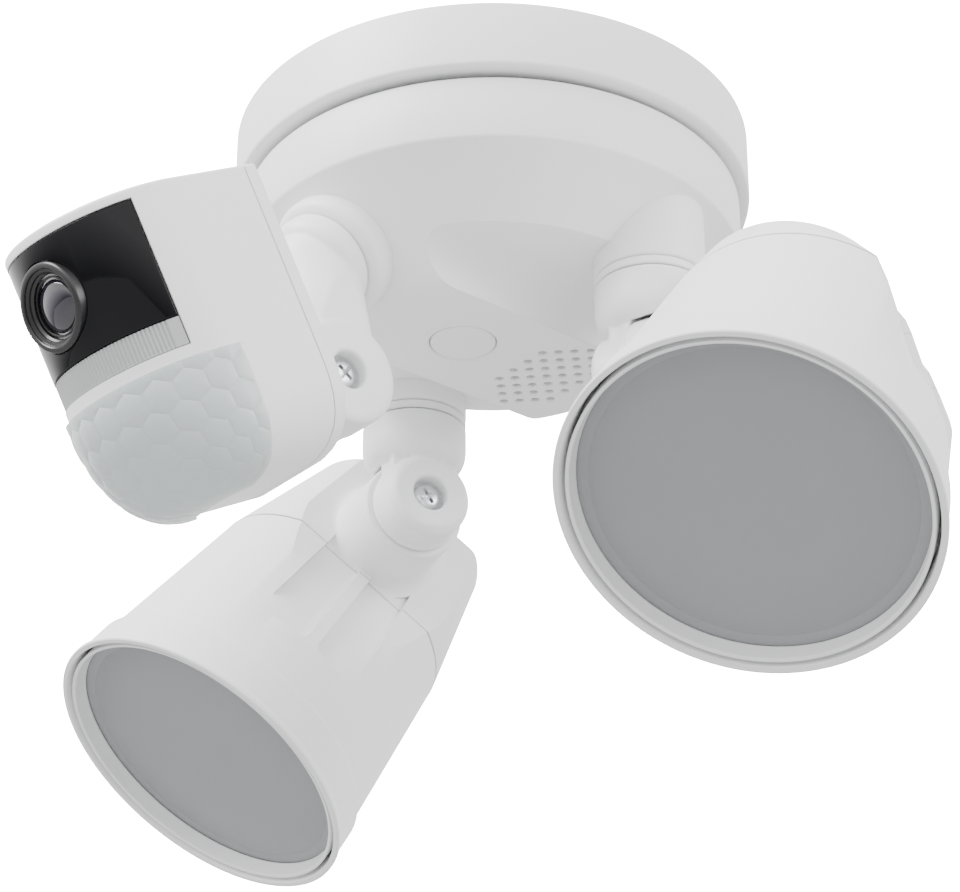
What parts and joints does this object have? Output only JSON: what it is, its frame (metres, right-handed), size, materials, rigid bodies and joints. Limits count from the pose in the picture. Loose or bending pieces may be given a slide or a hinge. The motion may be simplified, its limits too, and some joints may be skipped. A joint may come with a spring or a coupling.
{
  "type": "floodlight security camera",
  "caption": "Ceiling floodlight with a round canopy, bell-shaped lamps on jointed arms at each side, and a tilting camera with a motion sensor lens at the front.",
  "frame": {"origin": "centre of the mounting plate's back face, which lies against the ceiling or junction box", "axes": "+Z points out of the back into the ceiling, and the camera looks towards -Y with a lamp at each side along X"},
  "size_m": [0.3421, 0.2441, 0.2056],
  "materials": {
    "white_plastic": "fine satin moulding texture",
    "grey_plastic": "satin",
    "black_window": "polished",
    "dark_plastic": "satin",
    "frosted_lens": "smooth frosted",
    "motion_lens": "faceted, slightly glossy",
    "lens_glass": "coated and polished",
    "gasket_rubber": "matt",
    "zinc_screw": "zinc plated",
    "plate_steel": "zinc plated sheet",
    "polished_aluminium": "bright",
    "circuit_board": "solder mask"
  },
  "bodies": {
    "base": {"back_plate": "plate_steel", "canopy_ring": "white_plastic", "groove_gasket": "gasket_rubber", "drum_shell": "white_plastic", "main_board": "circuit_board", "power_module": "dark_plastic", "terminal_block": "grey_plastic", "speaker_driver": "dark_plastic", "button_switch": "circuit_board", "right_swivel_seal": "white_plastic", "left_swivel_seal": "white_plastic"},
    "pod_button": {"pod_button": "white_plastic"},
    "right_arm": {"right_swivel_arm": "white_plastic", "right_arm_retainer": "plate_steel", "right_tilt_screw": "zinc_screw"},
    "left_arm": {"left_swivel_arm": "white_plastic", "left_arm_retainer": "plate_steel", "left_tilt_screw": "zinc_screw"},
    "right_lamp": {"right_lamp_shell": "white_plastic", "right_lamp_rear_cap": "white_plastic", "right_lens_gasket": "gasket_rubber", "right_lamp_lens": "frosted_lens", "right_lens_retainer": "white_plastic", "right_reflector": "polished_aluminium", "right_led_board": "circuit_board", "right_heat_sink": "polished_aluminium"},
    "left_lamp": {"left_lamp_shell": "white_plastic", "left_lamp_rear_cap": "white_plastic", "left_lens_gasket": "gasket_rubber", "left_lamp_lens": "frosted_lens", "left_lens_retainer": "white_plastic", "left_reflector": "polished_aluminium", "left_led_board": "circuit_board", "left_heat_sink": "polished_aluminium"},
    "camera_arm": {"camera_elbow": "white_plastic", "camera_retainer": "plate_steel", "camera_tilt_screw": "zinc_screw"},
    "camera_head": {"camera_body": "white_plastic", "camera_rear_cover": "white_plastic", "camera_window": "black_window", "light_strip": "grey_plastic", "pir_lens": "motion_lens", "pir_sensor": "plate_steel", "lens_ring": "dark_plastic", "lens_barrel": "dark_plastic", "lens_glass": "lens_glass", "image_board": "circuit_board", "camera_board": "circuit_board", "microphone": "plate_steel"}
  },
  "joints": [
    {"name": "right_arm_swivel", "type": "hinge", "parent": "base", "child": "right_arm", "pos_m": [0.05634, 0.01379, -0.07], "axis": [0, 0, 1], "range_deg": [-25, 80]},
    {"name": "right_lamp_tilt", "type": "hinge", "parent": "right_arm", "child": "right_lamp", "pos_m": [0.05634, 0.01379, -0.0997], "axis": [0.9415, 0.3371, 0], "range_deg": [-55, 50]},
    {"name": "left_arm_swivel", "type": "hinge", "parent": "base", "child": "left_arm", "pos_m": [-0.05634, 0.01379, -0.07], "axis": [0, 0, 1], "range_deg": [-80, 25]},
    {"name": "left_lamp_tilt", "type": "hinge", "parent": "left_arm", "child": "left_lamp", "pos_m": [-0.05634, 0.01379, -0.0997], "axis": [0.969, -0.247, 0], "range_deg": [-55, 50]},
    {"name": "camera_swivel", "type": "hinge", "parent": "base", "child": "camera_arm", "pos_m": [0, -0.0634, -0.0643], "axis": [0, -0.682, -0.7314], "range_deg": [-45, 45]},
    {"name": "camera_tilt", "type": "hinge", "parent": "camera_arm", "child": "camera_head", "pos_m": [0, -0.0648, -0.1075], "axis": [1, 0, 0], "range_deg": [-20, 50]},
    {"name": "pod_button_press", "type": "slide", "parent": "base", "child": "pod_button", "axis": [0, 0, 1], "range_m": [0, 0.0008], "stiffness_N_per_m": 1500, "springref_m": -0.0005}
  ]
}
